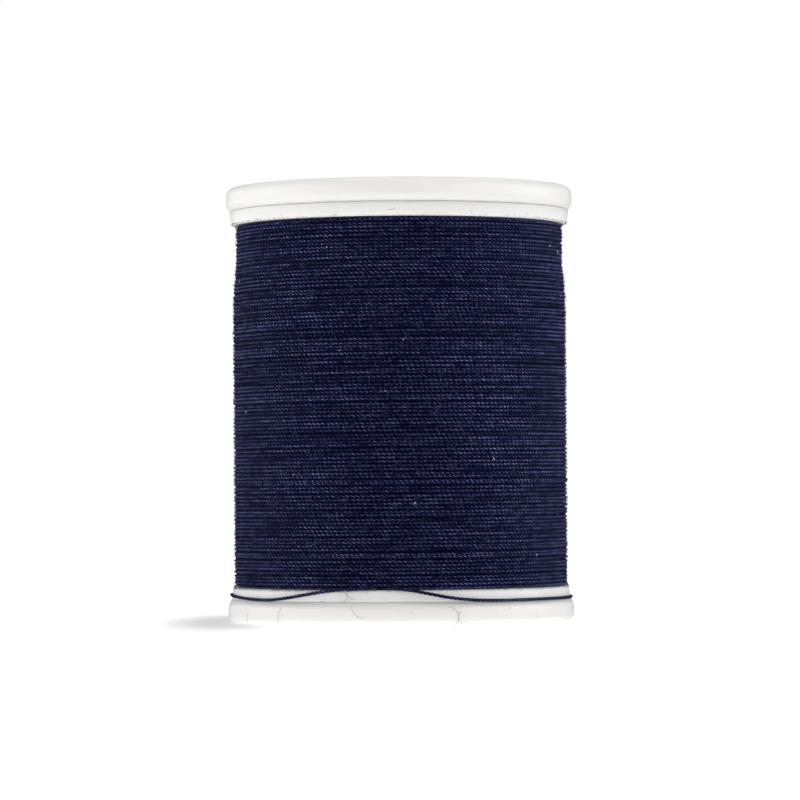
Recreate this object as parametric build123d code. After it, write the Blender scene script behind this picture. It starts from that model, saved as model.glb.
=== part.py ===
from build123d import *

import math
import os

# A full spool of sewing thread, standing on its foot. Millimetres, +Z up, origin at the middle of
# the foot. Bearings are degrees about +Z, counted from the front (-Y) towards the right (+X).

# Whole spool
total_height = 45.1
flange_radius = 18.0

# Caps: the outer flange at each end, alike at the foot and at the top
rim_height = 2.38
rim_wall = 1.4
rim_corner_radius = 0.8
rim_bevel_width = 0.4
rim_bevel_height = 0.6
face_thickness = 1.2
bore_radius = 3.5
bore_chamfer = 0.4
boss_radius = 4.7
boss_height = 7.5
travel = 1.2

# Labels, each in a shallow recess of its cap
label_thickness = 0.15
label_inner_radius = 5.0
label_outer_radius = 15.4
recess_depth = 0.25
recess_margin = 0.15

# Snap skirt of each cap
skirt_outer_radius = 8.15
skirt_wall = 1.0
skirt_height = 7.2
bead_reach = 0.45
bead_height = 1.0
bead_land = 0.4
finger_count = 6
finger_gap = 2.0

# Barrel: core tube, two collars, hub and ribs
seam_gap = 0.05
foot_collar_thickness = 1.24
top_collar_thickness = 1.46
collar_radius = 17.65
collar_taper = 0.2
collar_edge_radius = 0.3
collar_seam_radius = 0.4
core_outer_radius = 9.5
core_inner_radius = 8.3
core_root_radius = 0.5
groove_radius = 8.78
groove_clearance = 0.12
mouth_chamfer = 0.3
hub_start = 9.0
rib_count = 3
rib_thickness = 1.0
rib_inner_radius = 5.1
rib_outer_radius = 9.0
rib_setback = 0.6

# Thread
thread_diameter = 0.3
winding_radius = 17.35
winding_top_radius = 17.0
winding_edge_step = 0.2
winding_edge_height = 0.6
winding_root_gap = 0.55
shoulder_start = 32.5
shoulder_end = 38.5
shoulder_blend = 25.0

# Loose turn: it leaves the pack at the left of the front, lies round the collar over the foot's
# seam, and climbs back to the pack at the right of the front
corner_radius = 17.84
corner_height = 2.5
corner_lean = 0.04
left_descent = [
    (-10, 17.45, 3.86),
    (-17, 17.53, 3.8),
    (-25, 17.65, 3.6),
    (-33, 17.79, 3.22),
    (-41, 17.84, 2.82),
    (-50, 17.85, 2.58),
]
right_climb = [
    (36, 17.84, 2.5),
    (28, 17.84, 2.54),
    (21, 17.84, 2.68),
    (15, 17.82, 2.92),
    (9, 17.77, 3.3),
    (3, 17.64, 3.66),
    (-3, 17.5, 3.82),
]
turn_step = 12
turn_last = 46

# Worked out from the sizes above
foot_seam = rim_height + seam_gap
top_seam = total_height - foot_seam
foot_collar_top = foot_seam + foot_collar_thickness
top_collar_foot = top_seam - top_collar_thickness
bead_start = skirt_height - bead_height


def lathe(outline, radii=None):
    """Turn a closed outline of (radius, height) points about the spool's axis."""
    section = make_face(Polyline(*outline, close=True))
    for corner, rounding in (radii or {}).items():
        nearest = section.vertices().sort_by_distance(Vector(*corner))[0]
        section = fillet(nearest, rounding)
    return revolve(Plane.XZ * section, axis=Axis.Z)


def cap():
    """The foot cap, face down: rim, face with a label recess, bored boss and six snap fingers."""
    face_top = face_thickness
    rim_bore = flange_radius - rim_bevel_width - rim_wall
    skirt_inner_radius = skirt_outer_radius - skirt_wall
    bead_radius = skirt_outer_radius + bead_reach
    recess_inner = label_inner_radius - recess_margin
    recess_outer = label_outer_radius + recess_margin
    bead_foot = bead_start - bead_reach
    outline = [
        (bore_radius, bore_chamfer),
        (bore_radius + bore_chamfer, 0),
        (recess_inner, 0),
        (recess_inner, recess_depth),
        (recess_outer, recess_depth),
        (recess_outer, 0),
        (flange_radius, 0),
        (flange_radius, rim_height - rim_bevel_height),
        (flange_radius - rim_bevel_width, rim_height),
        (rim_bore, rim_height),
        (rim_bore, face_top),
        (skirt_outer_radius, face_top),
        (skirt_outer_radius, bead_foot),
        (bead_radius, bead_start),
        (bead_radius, bead_start + bead_land),
        (skirt_outer_radius - bore_chamfer, skirt_height),
        (skirt_inner_radius, skirt_height),
        (skirt_inner_radius, face_top),
        (boss_radius, face_top),
        (boss_radius, boss_height),
        (bore_radius, boss_height),
    ]
    body = lathe(
        outline,
        {
            (flange_radius, 0): rim_corner_radius,
            (flange_radius, rim_height - rim_bevel_height): rim_bevel_height / 2,
            (recess_outer, 0): 0.1,
        },
    )
    gap_height = skirt_height - face_top
    gap_reach = bead_radius - skirt_inner_radius + 1.0
    gap = Box(gap_reach, finger_gap, gap_height, align=(Align.MIN, Align.CENTER, Align.MIN))
    for turn in range(finger_count):
        placed = Pos(skirt_inner_radius - 0.5, 0, face_top) * gap
        body -= Rot(0, 0, turn * 360 / finger_count) * placed
    return body


def label():
    """A paper ring, glued into the foot cap's recess."""
    ring = Cylinder(label_outer_radius, label_thickness) - Cylinder(label_inner_radius, label_thickness)
    return Pos(0, 0, recess_depth - label_thickness / 2) * ring


def turned_over(piece):
    """The same piece at the other end of the spool, face up."""
    return Pos(0, 0, total_height) * Rot(180, 0, 0) * piece


def groove_span():
    """The heights that a bead needs in the foot's groove, from open to closed."""
    low = bead_start - bead_reach - travel - groove_clearance
    high = bead_start + bead_land + groove_clearance
    return low, high


def barrel():
    """Core tube with a collar at each end, inside it two bead grooves and a hub on three ribs."""
    low, high = groove_span()
    rise = groove_radius - core_inner_radius
    outline = [
        (core_inner_radius + mouth_chamfer, foot_seam),
        (collar_radius, foot_seam),
        (collar_radius - collar_taper, foot_collar_top),
        (core_outer_radius, foot_collar_top),
        (core_outer_radius, top_collar_foot),
        (collar_radius - collar_taper, top_collar_foot),
        (collar_radius, top_seam),
        (core_inner_radius + mouth_chamfer, top_seam),
        (core_inner_radius, top_seam - mouth_chamfer),
        (core_inner_radius, total_height - low),
        (groove_radius, total_height - low - rise),
        (groove_radius, total_height - high),
        (core_inner_radius, total_height - high - rise),
        (core_inner_radius, high + rise),
        (groove_radius, high),
        (groove_radius, low + rise),
        (core_inner_radius, low),
        (core_inner_radius, foot_seam + mouth_chamfer),
    ]
    body = lathe(
        outline,
        {
            (collar_radius, foot_seam): collar_seam_radius,
            (collar_radius, top_seam): collar_seam_radius,
            (collar_radius - collar_taper, foot_collar_top): collar_edge_radius,
            (collar_radius - collar_taper, top_collar_foot): collar_edge_radius,
            (core_outer_radius, foot_collar_top): core_root_radius,
            (core_outer_radius, top_collar_foot): core_root_radius,
        },
    )
    hub_length = total_height - 2 * hub_start
    hub = Cylinder(boss_radius, hub_length) - Cylinder(bore_radius, hub_length)
    body += Pos(0, 0, total_height / 2) * hub
    for turn in range(rib_count):
        body += Rot(0, 0, 60 + turn * 360 / rib_count) * rib()
    return body


def rib():
    """One rib from the hub to the core tube. Its ends run on between the caps' fingers."""
    long_height = top_seam - foot_seam - 2 * rib_setback
    long_width = rib_outer_radius - rib_inner_radius
    near_width = rib_inner_radius - boss_radius + 1.0
    near_height = total_height - 2 * hub_start
    side = (Align.MIN, Align.CENTER, Align.CENTER)
    long_web = Pos(rib_inner_radius, 0, total_height / 2) * Box(
        long_width, rib_thickness, long_height, align=side
    )
    near_web = Pos(boss_radius - 0.5, 0, total_height / 2) * Box(
        near_width, rib_thickness, near_height, align=side
    )
    return long_web + near_web


def thread_winding():
    """The pack of wound thread between the collars, a little slimmer towards the top."""
    core = core_outer_radius
    foot = foot_collar_top
    top = top_collar_foot
    outline = [
        (core, foot + winding_root_gap),
        (core + winding_root_gap, foot),
        (winding_radius - winding_edge_step, foot),
        (winding_radius, foot + winding_edge_height),
        (winding_radius, shoulder_start),
        (winding_top_radius, shoulder_end),
        (winding_top_radius, top - winding_edge_height),
        (winding_top_radius - winding_edge_step, top),
        (core + winding_root_gap, top),
        (core, top - winding_root_gap),
    ]
    return lathe(
        outline,
        {
            (winding_radius, foot + winding_edge_height): 0.8,
            (winding_radius, shoulder_start): shoulder_blend,
            (winding_top_radius, shoulder_end): shoulder_blend,
            (winding_top_radius, top - winding_edge_height): 0.8,
        },
    )


def loose_turn_route():
    """Points of the slack turn, from the left of the front round the back to the right."""
    stops = list(left_descent)
    for bearing in range(left_descent[-1][0] - turn_step, turn_last - 361, -turn_step):
        lean = corner_lean * (1 - math.sin(math.radians(bearing)))
        stops.append((bearing, corner_radius, corner_height + lean))
    stops += right_climb
    points = []
    for bearing, radius, height in stops:
        angle = math.radians(bearing)
        points.append((radius * math.sin(angle), -radius * math.cos(angle), height))
    return points


def corner_radii(points):
    """The largest smooth arc at each inner point: 0.45 of its shorter run over tan(half turn)."""
    radii = []
    for before, here, after in zip(points, points[1:], points[2:]):
        arriving = Vector(*here) - Vector(*before)
        leaving = Vector(*after) - Vector(*here)
        half_turn = math.radians(arriving.get_angle(leaving)) / 2
        shorter = min(arriving.length, leaving.length)
        radii.append(0.45 * shorter / math.tan(half_turn))
    return radii


def loose_turn():
    """The slack turn of thread as a round tube along straight runs and tangent arcs."""
    points = loose_turn_route()
    radii = corner_radii(points)
    print("loose_turn radii", [round(radius, 1) for radius in radii])
    path = FilletPolyline(*points, radius=radii)
    start = Plane(origin=path @ 0, z_dir=path % 0)
    tube = sweep(start * Circle(thread_diameter / 2), path=path)
    section = math.pi * thread_diameter**2 / 4
    print("loose_turn length", round(path.length, 2), "volume over section x length",
          round(tube.volume / (section * path.length), 4))
    return tube


def main():
    """Write one STEP for each sub-part."""
    foot_cap = cap()
    foot_label = label()
    pieces = {
        "barrel": barrel(),
        "base_cap": foot_cap,
        "top_cap": turned_over(foot_cap),
        "base_label": foot_label,
        "top_label": turned_over(foot_label),
        "thread_winding": thread_winding(),
        "loose_turn": loose_turn(),
    }
    os.makedirs("parts", exist_ok=True)
    for name, piece in pieces.items():
        export_step(piece, f"parts/{name}.step")


if __name__ == "__main__":
    main()
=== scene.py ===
"""A full spool of navy sewing thread: white snap-together spool, wound pack and one slack turn."""

import logging
import math
import random
from collections.abc import Callable, Iterable, Sequence
from dataclasses import dataclass
from enum import Enum

import bmesh
import bpy
from mathutils import Matrix, Vector, noise
from mathutils.kdtree import KDTree


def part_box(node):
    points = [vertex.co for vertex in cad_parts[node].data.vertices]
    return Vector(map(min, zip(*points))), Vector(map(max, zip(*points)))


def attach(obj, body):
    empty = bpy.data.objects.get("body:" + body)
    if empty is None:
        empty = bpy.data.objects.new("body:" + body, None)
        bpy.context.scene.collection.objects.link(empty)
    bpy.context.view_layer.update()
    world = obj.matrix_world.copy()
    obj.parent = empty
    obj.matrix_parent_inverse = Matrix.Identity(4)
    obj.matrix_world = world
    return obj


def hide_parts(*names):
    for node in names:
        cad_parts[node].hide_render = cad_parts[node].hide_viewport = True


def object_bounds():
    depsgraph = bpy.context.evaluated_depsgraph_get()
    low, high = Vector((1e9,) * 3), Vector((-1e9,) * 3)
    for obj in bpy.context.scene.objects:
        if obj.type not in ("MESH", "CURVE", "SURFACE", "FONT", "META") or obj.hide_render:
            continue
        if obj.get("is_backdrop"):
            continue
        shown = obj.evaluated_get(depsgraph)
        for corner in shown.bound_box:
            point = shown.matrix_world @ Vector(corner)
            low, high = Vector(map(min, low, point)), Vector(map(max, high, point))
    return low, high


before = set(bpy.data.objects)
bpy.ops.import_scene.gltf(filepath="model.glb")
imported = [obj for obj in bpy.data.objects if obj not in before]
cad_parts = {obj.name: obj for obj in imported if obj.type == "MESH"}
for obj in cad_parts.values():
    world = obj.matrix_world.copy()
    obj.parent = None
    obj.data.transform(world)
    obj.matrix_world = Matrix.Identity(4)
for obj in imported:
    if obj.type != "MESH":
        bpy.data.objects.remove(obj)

MM = 0.001
TAU = 2 * math.pi
log = logging.getLogger("spool")


class Body(Enum):
    """The bodies that pieces ride on."""

    SPOOL = "spool"
    BASE_CAP = "base_cap"
    TOP_CAP = "top_cap"


class Slot(Enum):
    """The material slots of the spool's record."""

    PLASTIC = "spool_plastic"
    PAPER = "label_paper"
    THREAD = "thread"


class End(Enum):
    """The two ends of the spool, as its caps and labels are named."""

    FOOT = "base"
    TOP = "top"

    @property
    def cap(self) -> Body:
        """The body of this end's cap."""
        return Body(f"{self.value}_cap")


# ---------------------------------------------------------------- shader graphs


def operator(operation: str, swapped: bool = False) -> Callable[["Value", object], "Value"]:
    """Make a method that adds a Math node.

    Args:
        operation: the node's operation.
        swapped: whether the other operand comes first, as in 1 - mask.

    Returns:
        The method.
    """

    def apply(value: "Value", other: object) -> "Value":
        """Add the node and return its result."""
        operands = (other, value) if swapped else (value, other)
        sockets = dict(enumerate(operands))
        return value.graph.node("ShaderNodeMath", {"operation": operation}, sockets)

    return apply


class Value:
    """A node's output that takes part in Python expressions."""

    def __init__(self, graph: "Graph", socket: bpy.types.NodeSocket) -> None:
        """Wrap a socket.

        Args:
            graph: the graph that the socket belongs to.
            socket: the output to wrap.
        """
        self.graph = graph
        self.socket = socket

    __add__ = operator("ADD")
    __radd__ = operator("ADD", swapped=True)
    __sub__ = operator("SUBTRACT")
    __rsub__ = operator("SUBTRACT", swapped=True)
    __mul__ = operator("MULTIPLY")
    __rmul__ = operator("MULTIPLY", swapped=True)
    __gt__ = operator("GREATER_THAN")


class Graph:
    """A material's node tree around one Principled shader."""

    def __init__(self, name: str, **constants: object) -> None:
        """Start a material.

        Args:
            name: the material's name.
            constants: values of the shader's own sockets, with _ for each space.
        """
        self.material = bpy.data.materials.new(name)
        self.material.use_nodes = True
        self.tree = self.material.node_tree
        self.shader = self.tree.nodes["Principled BSDF"]
        for key, value in constants.items():
            self.shader.inputs[key.replace("_", " ")].default_value = value

    def node(
        self,
        kind: str,
        settings: dict[str, object] | None = None,
        sockets: dict[str | int, object] | None = None,
        output: str | int = 0,
    ) -> Value:
        """Add a node.

        Args:
            kind: the node's type.
            settings: its properties.
            sockets: the values or links of its inputs.
            output: the output that is wanted.

        Returns:
            That output.
        """
        made = self.tree.nodes.new(kind)
        for key, value in (settings or {}).items():
            setattr(made, key, value)
        for key, value in (sockets or {}).items():
            self._feed(made.inputs[key], value)
        return Value(self, made.outputs[output])

    def _feed(self, socket: bpy.types.NodeSocket, value: object) -> None:
        """Link or set an input.

        Args:
            socket: the input.
            value: a Value to link, or a constant.
        """
        if isinstance(value, Value):
            self.tree.links.new(value.socket, socket)
        else:
            socket.default_value = value

    def drive(self, **inputs: Value) -> None:
        """Link values to the shader's inputs.

        Args:
            inputs: the values by input name, with _ for each space.
        """
        for key, value in inputs.items():
            self._feed(self.shader.inputs[key.replace("_", " ")], value)

    def place(self) -> Value:
        """The point on the piece, in metres."""
        return self.node("ShaderNodeTexCoord", output="Object")

    def vector(self, operation: str, *operands: object, output: str = "Vector") -> Value:
        """Add a Vector Math node.

        Args:
            operation: the node's operation.
            operands: its vectors.
            output: the output that is wanted.

        Returns:
            That output.
        """
        sockets = dict(enumerate(operands))
        return self.node("ShaderNodeVectorMath", {"operation": operation}, sockets, output)

    def cloud(
        self, size: float, detail: float = 2.0, stretch: Sequence[float] = (1, 1, 1)
    ) -> Value:
        """A soft random pattern.

        Args:
            size: the width of its patches, in metres.
            detail: how many finer octaves it has.
            stretch: how its frequency changes along each axis.

        Returns:
            Values around 0.5.
        """
        spread = {"Vector": self.place(), "Scale": stretch}
        scaled = self.node("ShaderNodeMapping", {"vector_type": "POINT"}, spread)
        pattern = {"Vector": scaled, "Scale": 1 / size, "Detail": detail}
        return self.node("ShaderNodeTexNoise", {}, pattern, "Fac")

    def blend(self, share: Value, first: object, second: object) -> Value:
        """Mix two colours.

        Args:
            share: 0 for the first, 1 for the second.
            first: a colour.
            second: a colour.

        Returns:
            The mixed colour.
        """
        colours = {"Factor": share, "A": first, "B": second}
        return self.node("ShaderNodeMix", {"data_type": "RGBA"}, colours, "Result")

    def bump(self, height: Value, distance: float, strength: float = 1.0) -> Value:
        """A normal bent by a height.

        Args:
            height: the height, from 0 to 1.
            distance: the depth that 1 stands for, in metres.
            strength: the share of the effect.

        Returns:
            The normal.
        """
        relief = {"Height": height, "Distance": distance, "Strength": strength}
        return self.node("ShaderNodeBump", {}, relief, "Normal")


# ---------------------------------------------------------------- finishes


def srgb(red: float, green: float, blue: float) -> tuple[float, float, float, float]:
    """A screen colour as the renderer holds it.

    Args:
        red: red, from 0 to 255.
        green: green, from 0 to 255.
        blue: blue, from 0 to 255.

    Returns:
        Linear red, green, blue and an alpha of 1.
    """
    shares = (level / 255 for level in (red, green, blue))
    linear = [s / 12.92 if s <= 0.04045 else ((s + 0.055) / 1.055) ** 2.4 for s in shares]
    return (*linear, 1.0)


@dataclass(frozen=True)
class WhitePlastic:
    """Milky moulded polystyrene: satin, with faint flow marks and fine handling scuffs."""

    name: str = "white_polystyrene"
    clean: tuple = srgb(233, 232, 229)
    shaded: tuple = srgb(227, 226, 222)
    roughness: float = 0.34
    scuff: float = 0.2
    gloss: float = 0.14
    milkiness: float = 0.8
    milk_depth: float = 1.2 * MM
    flow_size: float = 6 * MM
    scuff_size: float = 0.35 * MM
    flow_depth: float = 0.02 * MM

    def material(self) -> bpy.types.Material:
        """Make the material."""
        graph = Graph(
            self.name,
            IOR=1.5,
            Specular_IOR_Level=self.gloss,
            Subsurface_Weight=self.milkiness,
            Subsurface_Radius=(1.0, 0.95, 0.9),
            Subsurface_Scale=self.milk_depth,
        )
        flow = graph.cloud(self.flow_size, 3.0, (1, 1, 2.5))
        scuffs = graph.cloud(self.scuff_size, 4.0)
        graph.drive(
            Base_Color=graph.blend(flow, self.clean, self.shaded),
            Roughness=self.roughness + (scuffs - 0.5) * self.scuff,
            Normal=graph.bump(flow * 0.8 + scuffs * 0.2, self.flow_depth, 0.6),
        )
        return graph.material


@dataclass(frozen=True)
class NavyThread:
    """Dyed three-ply thread: deep navy, a dull sheen, each ply streaked by its fibres; where
    crested, the crest attribute paints shade in the hollows between plies and highlight on their
    outer crests.
    """

    name: str
    crested: bool = True
    # Painted shade: the near-black colour where the crest share is low, in the valleys between
    # plies and on faces turned towards the spool.
    painted_hollow_shade: tuple = srgb(0, 2, 36)
    deep: tuple = srgb(38, 42, 92)
    pale: tuple = srgb(156, 163, 226)
    roughness: float = 0.3
    hollow_roughness: float = 0.6
    sheen: float = 0.04
    sheen_tint: tuple = srgb(140, 148, 225)
    gloss: float = 0.1
    gloss_tint: tuple = srgb(170, 178, 255)
    lustre: float = 0.85
    paleness: float = 0.45
    patch_contrast: float = 1.6
    fibre_contrast: float = 3.2
    patch_size: float = 1.6 * MM
    fibre_size: float = 0.14 * MM
    fibre_depth: float = 0.012 * MM

    def material(self) -> bpy.types.Material:
        """Make the material."""
        graph = Graph(
            self.name,
            Sheen_Weight=self.sheen,
            Sheen_Roughness=0.35,
            Sheen_Tint=self.sheen_tint,
            Specular_IOR_Level=self.gloss,
            Specular_Tint=self.gloss_tint,
        )
        patches = graph.cloud(self.patch_size, 2.0, (1, 1, 4))
        fibres = graph.cloud(self.fibre_size, 3.0, (0.4, 0.4, 1))
        streaks = self.paleness + (patches - 0.5) * self.patch_contrast
        streaks += (fibres - 0.5) * self.fibre_contrast
        colour = graph.blend(streaks, self.deep, self.pale)
        rough = self.roughness + (fibres - 0.5) * 0.2
        # Painted light: the crest mask blends from the painted hollow shade to the paler streak
        # colour, a painted highlight on the plies' outer crests.
        if self.crested:
            crest = graph.node("ShaderNodeAttribute", {"attribute_name": "crest"}, {}, "Fac")
            colour = graph.blend(crest, self.painted_hollow_shade, colour)
            rough = rough + (1 - crest) * self.hollow_roughness
            graph.drive(Metallic=crest * self.lustre)
        graph.drive(
            Base_Color=colour, Roughness=rough, Normal=graph.bump(fibres, self.fibre_depth, 0.4)
        )
        return graph.material


@dataclass(frozen=True)
class LooseFibre:
    """Single fibres: the thread's own hairs, or pale lint."""

    name: str
    root: tuple
    tip: tuple
    roughness: float = 0.6
    gloss: float = 0.3
    hue_size: float = 0.8 * MM
    grain_size: float = 0.3 * MM

    def material(self) -> bpy.types.Material:
        """Make the material."""
        graph = Graph(self.name, Specular_IOR_Level=self.gloss)
        graph.drive(
            Base_Color=graph.blend(graph.cloud(self.hue_size), self.root, self.tip),
            Roughness=self.roughness + (graph.cloud(self.grain_size) - 0.5) * 0.3,
        )
        return graph.material


@dataclass(frozen=True)
class PrintedPaper:
    """A smooth paper disc with two printed rings round its bore."""

    name: str = "label_paper"
    paper: tuple = srgb(242, 240, 234)
    mottled: tuple = srgb(234, 231, 223)
    ink: tuple = srgb(38, 42, 84)
    wide_ring: tuple[float, float] = (12.0 * MM, 14.4 * MM)
    fine_ring: tuple[float, float] = (6.4 * MM, 6.9 * MM)
    gloss: float = 0.35
    roughness: float = 0.62
    ink_smoothing: float = 0.18
    fibre_size: float = 0.25 * MM
    wear_size: float = 0.5 * MM

    def material(self) -> bpy.types.Material:
        """Make the material."""
        graph = Graph(self.name, Specular_IOR_Level=self.gloss)
        fibres = graph.cloud(self.fibre_size, 4.0)
        ground = graph.blend(fibres, self.paper, self.mottled)
        flat = graph.vector("MULTIPLY", graph.place(), (1, 1, 0))
        reach = graph.vector("LENGTH", flat, output="Value")
        printed = self._ring(reach, self.wide_ring) + self._ring(reach, self.fine_ring)
        worn = printed * (1.12 - graph.cloud(self.wear_size, 3.0) * 0.4)
        graph.drive(
            Base_Color=graph.blend(worn, ground, self.ink),
            Roughness=self.roughness - printed * self.ink_smoothing,
            Normal=graph.bump(fibres, 0.01 * MM, 0.5),
        )
        return graph.material

    def _ring(self, reach: Value, span: tuple[float, float]) -> Value:
        """1 inside a ring and 0 outside it.

        Args:
            reach: the distance from the axis.
            span: the ring's inner and outer radius.

        Returns:
            The mask.
        """
        inner, outer = span
        return (reach > inner) * (1 - (reach > outer))


@dataclass(frozen=True)
class StudioFloor:
    """A pale floor that glows like a lit sweep."""

    name: str = "studio_floor"
    colour: tuple = srgb(236, 236, 236)
    mottled: tuple = srgb(233, 233, 234)
    mottle_size: float = 0.3
    glow: float = 0.8

    def material(self) -> bpy.types.Material:
        """Make the material."""
        graph = Graph(
            self.name,
            Emission_Color=(1.0, 1.0, 1.0, 1.0),
            Emission_Strength=self.glow,
            Specular_IOR_Level=0.0,
            Roughness=0.9,
        )
        mottle = graph.cloud(self.mottle_size)
        graph.drive(Base_Color=graph.blend(mottle, self.colour, self.mottled))
        return graph.material


@dataclass(frozen=True)
class SoftShade:
    """The soft shade that the spool throws to its left, as a clear film with a dim patch."""

    name: str = "soft_shade"
    patch: tuple = (-18.5 * MM, 0.0, 0.0)
    reach: tuple = (13.5 * MM, 72 * MM, 1.0)
    depth: float = 0.5

    def material(self) -> bpy.types.Material:
        """Make the material."""
        graph = Graph(
            self.name, Base_Color=(0.0, 0.0, 0.0, 1.0), Specular_IOR_Level=0.0, Roughness=1.0
        )
        aside = graph.vector("SUBTRACT", graph.place(), self.patch)
        away = graph.vector("LENGTH", graph.vector("DIVIDE", aside, self.reach), output="Value")
        share = graph.node(
            "ShaderNodeMapRange",
            {"interpolation_type": "SMOOTHSTEP"},
            {"Value": away, "From Min": 0.0, "From Max": 1.0},
        )
        graph.drive(Alpha=(1 - share) * self.depth)
        return graph.material


# ---------------------------------------------------------------- mesh tools


def finish_piece(
    name: str,
    mesh: bpy.types.Mesh,
    body: Body,
    material: bpy.types.Material,
    replaces: Iterable[str] = (),
) -> bpy.types.Object:
    """Put a mesh in the scene as a piece of the spool.

    Args:
        name: the piece's name.
        mesh: its mesh, in place.
        body: the body that it rides on.
        material: its finish.
        replaces: the frame's nodes that it stands for.

    Returns:
        The piece.
    """
    mesh.name = name
    mesh.materials.clear()
    mesh.materials.append(material)
    piece = bpy.data.objects.new(name, mesh)
    bpy.context.scene.collection.objects.link(piece)
    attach(piece, body.value)
    nodes = tuple(replaces)
    if nodes:
        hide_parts(*nodes)
    log.info("%s: %d faces on %s", name, len(mesh.polygons), body.value)
    return piece


def mesh_from(shape: bmesh.types.BMesh, name: str, smooth_angle: float = 35.0) -> bpy.types.Mesh:
    """Turn a bmesh into a mesh, smooth except at its sharp edges.

    Args:
        shape: the bmesh, which is freed.
        name: the mesh's name.
        smooth_angle: the largest turn that is shaded smooth, in degrees.

    Returns:
        The mesh.
    """
    for face in shape.faces:
        face.smooth = True
    limit = math.radians(smooth_angle)
    for edge in shape.edges:
        if len(edge.link_faces) == 2 and edge.calc_face_angle() > limit:
            edge.smooth = False
    mesh = bpy.data.meshes.new(name)
    shape.to_mesh(mesh)
    shape.free()
    return mesh


@dataclass
class Section:
    """A closed outline of (radius, height) corners in millimetres, each with a rounding."""

    corners: list[tuple[float, float]]
    rounding: Sequence[float] = ()
    segments: int = 5

    def wire(self, shape: bmesh.types.BMesh) -> list:
        """Draw the outline in the XZ plane and round its corners.

        Args:
            shape: the bmesh to draw in.

        Returns:
            The outline's vertices and edges.
        """
        points = [shape.verts.new((r * MM, 0, z * MM)) for r, z in self.corners]
        shape.faces.new(points)
        for point, size in zip(points, self.rounding):
            if not size:
                continue
            bmesh.ops.bevel(
                shape,
                geom=[point],
                offset=size * MM,
                offset_type="OFFSET",
                segments=self.segments,
                profile=0.5,
                affect="VERTICES",
                material=-1,
            )
        face = next(iter(shape.faces))
        outline = [*face.verts, *face.edges]
        bmesh.ops.delete(shape, geom=[face], context="FACES_KEEP_BOUNDARY")
        return outline

    def turned(self, steps: int, angle: float = 360.0, start: float = 0.0) -> bmesh.types.BMesh:
        """Spin the outline about the spool's axis.

        Args:
            steps: how many steps the spin has.
            angle: how far it goes, in degrees.
            start: the bearing where it starts, in degrees.

        Returns:
            A closed shell.
        """
        shape = bmesh.new()
        outline = self.wire(shape)
        turn = Matrix.Rotation(math.radians(start), 3, "Z")
        verts = [item for item in outline if isinstance(item, bmesh.types.BMVert)]
        bmesh.ops.rotate(shape, verts=verts, cent=(0, 0, 0), matrix=turn)
        full = angle >= 360.0
        if not full:
            edges = [item for item in outline if isinstance(item, bmesh.types.BMEdge)]
            cap = bmesh.ops.contextual_create(shape, geom=edges)["faces"]
            outline = [*verts, *edges, *cap]
        bmesh.ops.spin(
            shape,
            geom=outline,
            cent=(0, 0, 0),
            axis=(0, 0, 1),
            angle=math.radians(angle),
            steps=steps,
            use_merge=full,
        )
        bmesh.ops.remove_doubles(shape, verts=shape.verts, dist=1e-7)
        bmesh.ops.recalc_face_normals(shape, faces=shape.faces)
        return shape


def joined(name: str, shapes: Iterable[bmesh.types.BMesh]) -> bmesh.types.BMesh:
    """Gather several shells in one bmesh.

    Args:
        name: the name of the passing mesh.
        shapes: the shells, which are freed.

    Returns:
        One bmesh with all of them.
    """
    whole = bmesh.new()
    for shape in shapes:
        passing = bpy.data.meshes.new(name)
        shape.to_mesh(passing)
        shape.free()
        whole.from_mesh(passing)
        bpy.data.meshes.remove(passing)
    return whole


def turned_over(shape: bmesh.types.BMesh, height: float) -> bmesh.types.BMesh:
    """Turn a shell over, so that the foot's shape fits the top.

    Args:
        shape: the shell, changed in place.
        height: the spool's height in metres.

    Returns:
        The same shell.
    """
    bmesh.ops.rotate(
        shape, verts=shape.verts, cent=(0, 0, height / 2), matrix=Matrix.Rotation(math.pi, 3, "X")
    )
    return shape


def curve_to_mesh(data: bpy.types.Curve) -> bpy.types.Mesh:
    """Read the mesh that a curve makes.

    Args:
        data: the curve, which is removed.

    Returns:
        The mesh.
    """
    carrier = bpy.data.objects.new(data.name, data)
    bpy.context.scene.collection.objects.link(carrier)
    bpy.context.view_layer.update()
    evaluated = carrier.evaluated_get(bpy.context.evaluated_depsgraph_get())
    mesh = bpy.data.meshes.new_from_object(evaluated)
    bpy.data.objects.remove(carrier)
    bpy.data.curves.remove(data)
    return mesh


def add_points(spline: bpy.types.Spline, points: Sequence[Sequence[float]]) -> None:
    """Give a new spline its points.

    Args:
        spline: the spline.
        points: the points, in metres.
    """
    spline.points.add(len(points) - 1)
    spline.points.foreach_set("co", [number for point in points for number in (*point, 1.0)])


def curve_mesh(
    name: str,
    strings: Iterable[Sequence[Sequence[float]]],
    radius: float,
    sides: int = 1,
    tilts: Sequence[float] | None = None,
    profile: bpy.types.Object | None = None,
) -> bpy.types.Mesh:
    """Make tubes along strings of points.

    Args:
        name: the mesh's name.
        strings: the points of each tube, in metres.
        radius: the tubes' radius, where they have no profile.
        sides: the bevel resolution of a round tube.
        tilts: the turn of the section at each point, in radians.
        profile: a closed curve that is the tubes' section.

    Returns:
        The mesh.
    """
    data = bpy.data.curves.new(name, "CURVE")
    data.dimensions = "3D"
    data.twist_mode = "Z_UP"
    data.use_fill_caps = True
    if profile:
        data.bevel_mode = "OBJECT"
        data.bevel_object = profile
    else:
        data.bevel_depth = radius
        data.bevel_resolution = sides
    for points in strings:
        spline = data.splines.new("POLY")
        add_points(spline, points)
        if tilts is not None:
            spline.points.foreach_set("tilt", tilts)
        spline.use_smooth = True
    return curve_to_mesh(data)


def around(bearing: float, radius: float, height: float) -> Vector:
    """A point by its bearing from the front, in metres.

    Args:
        bearing: the angle about +Z from -Y towards +X, in radians.
        radius: the distance from the axis, in metres.
        height: the height, in metres.

    Returns:
        The point.
    """
    return Vector((radius * math.sin(bearing), -radius * math.cos(bearing), height))


# ---------------------------------------------------------------- studio


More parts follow.
